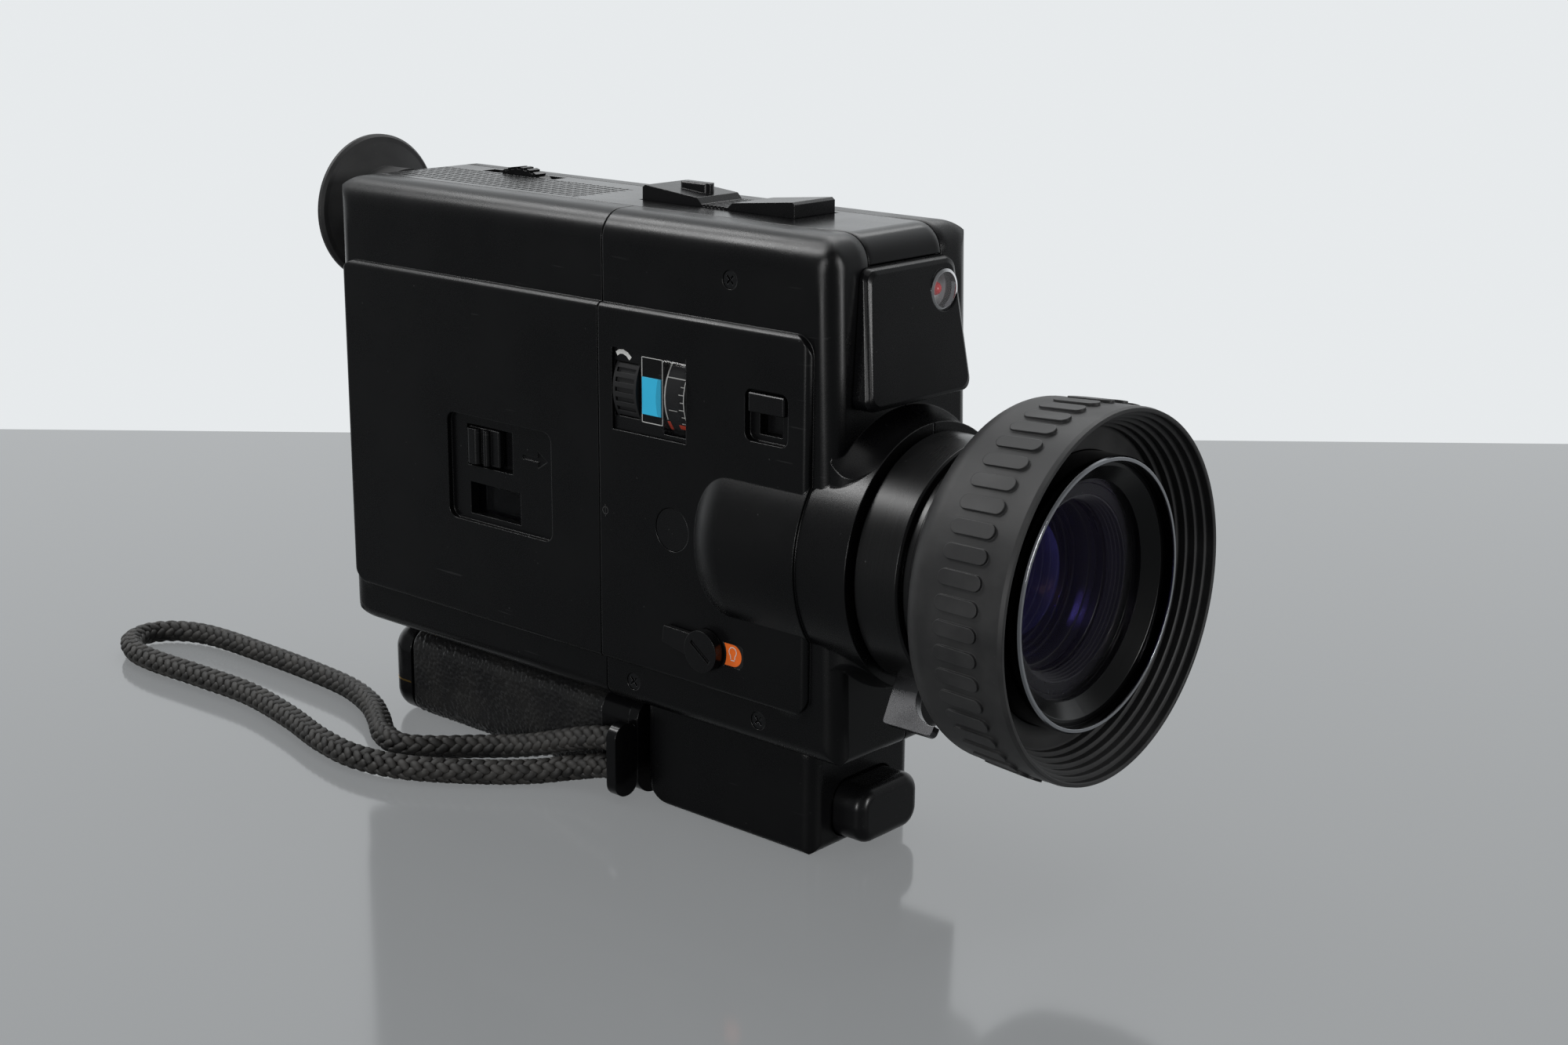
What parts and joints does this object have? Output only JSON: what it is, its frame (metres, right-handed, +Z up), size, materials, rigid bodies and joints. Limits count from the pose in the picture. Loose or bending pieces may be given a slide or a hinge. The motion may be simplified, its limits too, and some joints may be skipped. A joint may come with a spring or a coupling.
{
  "type": "cine camera",
  "caption": "Hand-held cine camera for film cartridges with a zoom lens, rubber hood, hinged film door, folding grip and wrist strap.",
  "frame": {"origin": "centre of the tripod socket's mouth, on the underside of the base block", "axes": "+X along the lens axis towards the subject, +Y to the operator's left, +Z up"},
  "size_m": [0.2672, 0.0831, 0.129],
  "materials": {
    "housing": "fine texture",
    "fascia": "satin",
    "grip_plastic": "gloss",
    "control": "satin",
    "chassis": "matt",
    "rubber": "matt",
    "grained_cover": "pebbled",
    "lens_glass": "coated",
    "clear_plastic": "polished",
    "ring_chrome": "polished",
    "reflector": "polished",
    "lens_black": "satin",
    "lever_metal": "satin",
    "steel": "brushed",
    "brass": "machined",
    "shutter_black": "matt",
    "screw_black": "satin",
    "orange": "matt",
    "blue": "gloss",
    "red": "gloss",
    "cell_wrap": "gloss",
    "braid": "braided"
  },
  "bodies": {
    "camera": {"main_chassis": "chassis", "left_cover": "housing", "right_cover": "housing", "top_cover": "housing", "front_fascia": "fascia", "lamp_reflector": "reflector", "lamp_diode": "red", "lamp_lens": "clear_plastic", "base_block": "housing", "tripod_bush": "steel", "cover_screws": "screw_black", "access_plug": "control", "exposure_frame": "control", "mode_window": "blue", "exposure_window": "clear_plastic", "filter_inlay": "orange", "rocker_seat": "chassis", "eyepiece_tube": "lens_black", "eyepiece_lens": "lens_glass", "eyecup": "rubber", "lens_barrel": "lens_black", "rear_lens_group": "lens_glass", "film_gate": "steel", "drive_motor": "steel", "grip_hinge_pin": "steel", "door_hinge_pin": "steel", "counter_window": "clear_plastic", "remote_socket": "steel", "release_spring": "steel"},
    "door": {"film_door": "housing", "door_window": "clear_plastic", "cartridge_spring": "steel"},
    "latch": {"door_latch": "control"},
    "grip": {"grip_shell": "grip_plastic", "grip_cover": "grained_cover", "battery_cells": "cell_wrap", "battery_contacts": "brass", "strap_anchor": "grip_plastic", "wrist_strap": "braid"},
    "cap": {"battery_cap": "grip_plastic"},
    "release": {"release_button": "control"},
    "rocker": {"zoom_rocker": "control"},
    "zoom": {"zoom_ring": "lens_black", "zoom_lever": "lever_metal"},
    "zoom_optics": {"zoom_cell": "lens_black"},
    "focus": {"focus_ring": "lens_black", "lens_hood": "rubber", "name_ring": "lens_black", "bright_ring": "ring_chrome", "front_element": "lens_glass"},
    "exposure": {"exposure_wheel": "control"},
    "mode": {"mode_switch": "control"},
    "filter": {"filter_lever": "control"},
    "diopter": {"diopter_wheel": "control"},
    "take_up": {"take_up_spindle": "chassis"},
    "shutter": {"shutter_disc": "shutter_black"},
    "pinion": {"motor_pinion": "brass"},
    "claw": {"pulldown_claw": "steel"}
  },
  "joints": [
    {"name": "door_hinge", "type": "hinge", "parent": "camera", "child": "door", "pos_m": [-0.1114, -0.0127, 0.065], "axis": [0, 0, -1], "range_deg": [0, 90]},
    {"name": "latch_slide", "type": "slide", "parent": "door", "child": "latch", "axis": [1, 0, 0], "range_m": [0, 0.004], "stiffness_N_per_m": 150},
    {"name": "grip_fold", "type": "hinge", "parent": "camera", "child": "grip", "pos_m": [-0.0145, 0, 0.0085], "axis": [0, -1, 0], "range_deg": [0, 90]},
    {"name": "cap_pull", "type": "slide", "parent": "grip", "child": "cap", "axis": [-1, 0, 0], "range_m": [0, 0.008]},
    {"name": "release_press", "type": "slide", "parent": "camera", "child": "release", "axis": [-1, 0, 0], "range_m": [0, 0.0025], "stiffness_N_per_m": 600, "deforming": ["release_spring"]},
    {"name": "rocker_tilt", "type": "hinge", "parent": "camera", "child": "rocker", "pos_m": [-0.01365, 0.0025, 0.1189], "axis": [0, 1, 0], "range_deg": [-4, 4], "stiffness_Nm_per_rad": 0.6},
    {"name": "zoom_turn", "type": "hinge", "parent": "camera", "child": "zoom", "pos_m": [0.044, 0, 0.0615], "axis": [1, 0, 0], "range_deg": [-40.4, 60.4]},
    {"name": "zoom_travel", "type": "slide", "parent": "camera", "child": "zoom_optics", "axis": [1, 0, 0], "range_m": [-0.0048, 0.0072]},
    {"name": "focus_turn", "type": "hinge", "parent": "camera", "child": "focus", "pos_m": [0.06, 0, 0.0615], "axis": [1, 0, 0], "range_deg": [-60, 120]},
    {"name": "exposure_turn", "type": "hinge", "parent": "camera", "child": "exposure", "pos_m": [-0.014, -0.0113, 0.08815], "axis": [1, 0, 0], "range_deg": [-90, 180]},
    {"name": "mode_slide", "type": "slide", "parent": "camera", "child": "mode", "axis": [0, 0, -1], "range_m": [0, 0.0045]},
    {"name": "filter_turn", "type": "hinge", "parent": "camera", "child": "filter", "pos_m": [0.0016, -0.0223, 0.0399], "axis": [0, -1, 0], "range_deg": [0, 60]},
    {"name": "diopter_turn", "type": "hinge", "parent": "camera", "child": "diopter", "pos_m": [-0.0823, 0.009, 0.1112], "axis": [0, 1, 0], "range_deg": [-60, 60]},
    {"name": "take_up_turn", "type": "hinge", "parent": "camera", "child": "take_up", "pos_m": [-0.069, 0.005, 0.0615], "axis": [0, 1, 0], "continuous": true},
    {"name": "shutter_spin", "type": "hinge", "parent": "camera", "child": "shutter", "pos_m": [-0.025, 0, 0.0455], "axis": [1, 0, 0], "continuous": true},
    {"name": "pinion_spin", "type": "hinge", "parent": "camera", "child": "pinion", "pos_m": [-0.023, -0.01039, 0.0395], "axis": [1, 0, 0], "continuous": true},
    {"name": "claw_slide", "type": "slide", "parent": "camera", "child": "claw", "axis": [0, 0, -1], "range_m": [0, 0.00423], "stiffness_N_per_m": 20}
  ],
  "couplings": [
    {"joint": "zoom_turn", "follows": "zoom_travel", "rad_per_m": 145.44},
    {"joint": "pinion_spin", "follows": "shutter_spin", "ratio": -3}
  ]
}
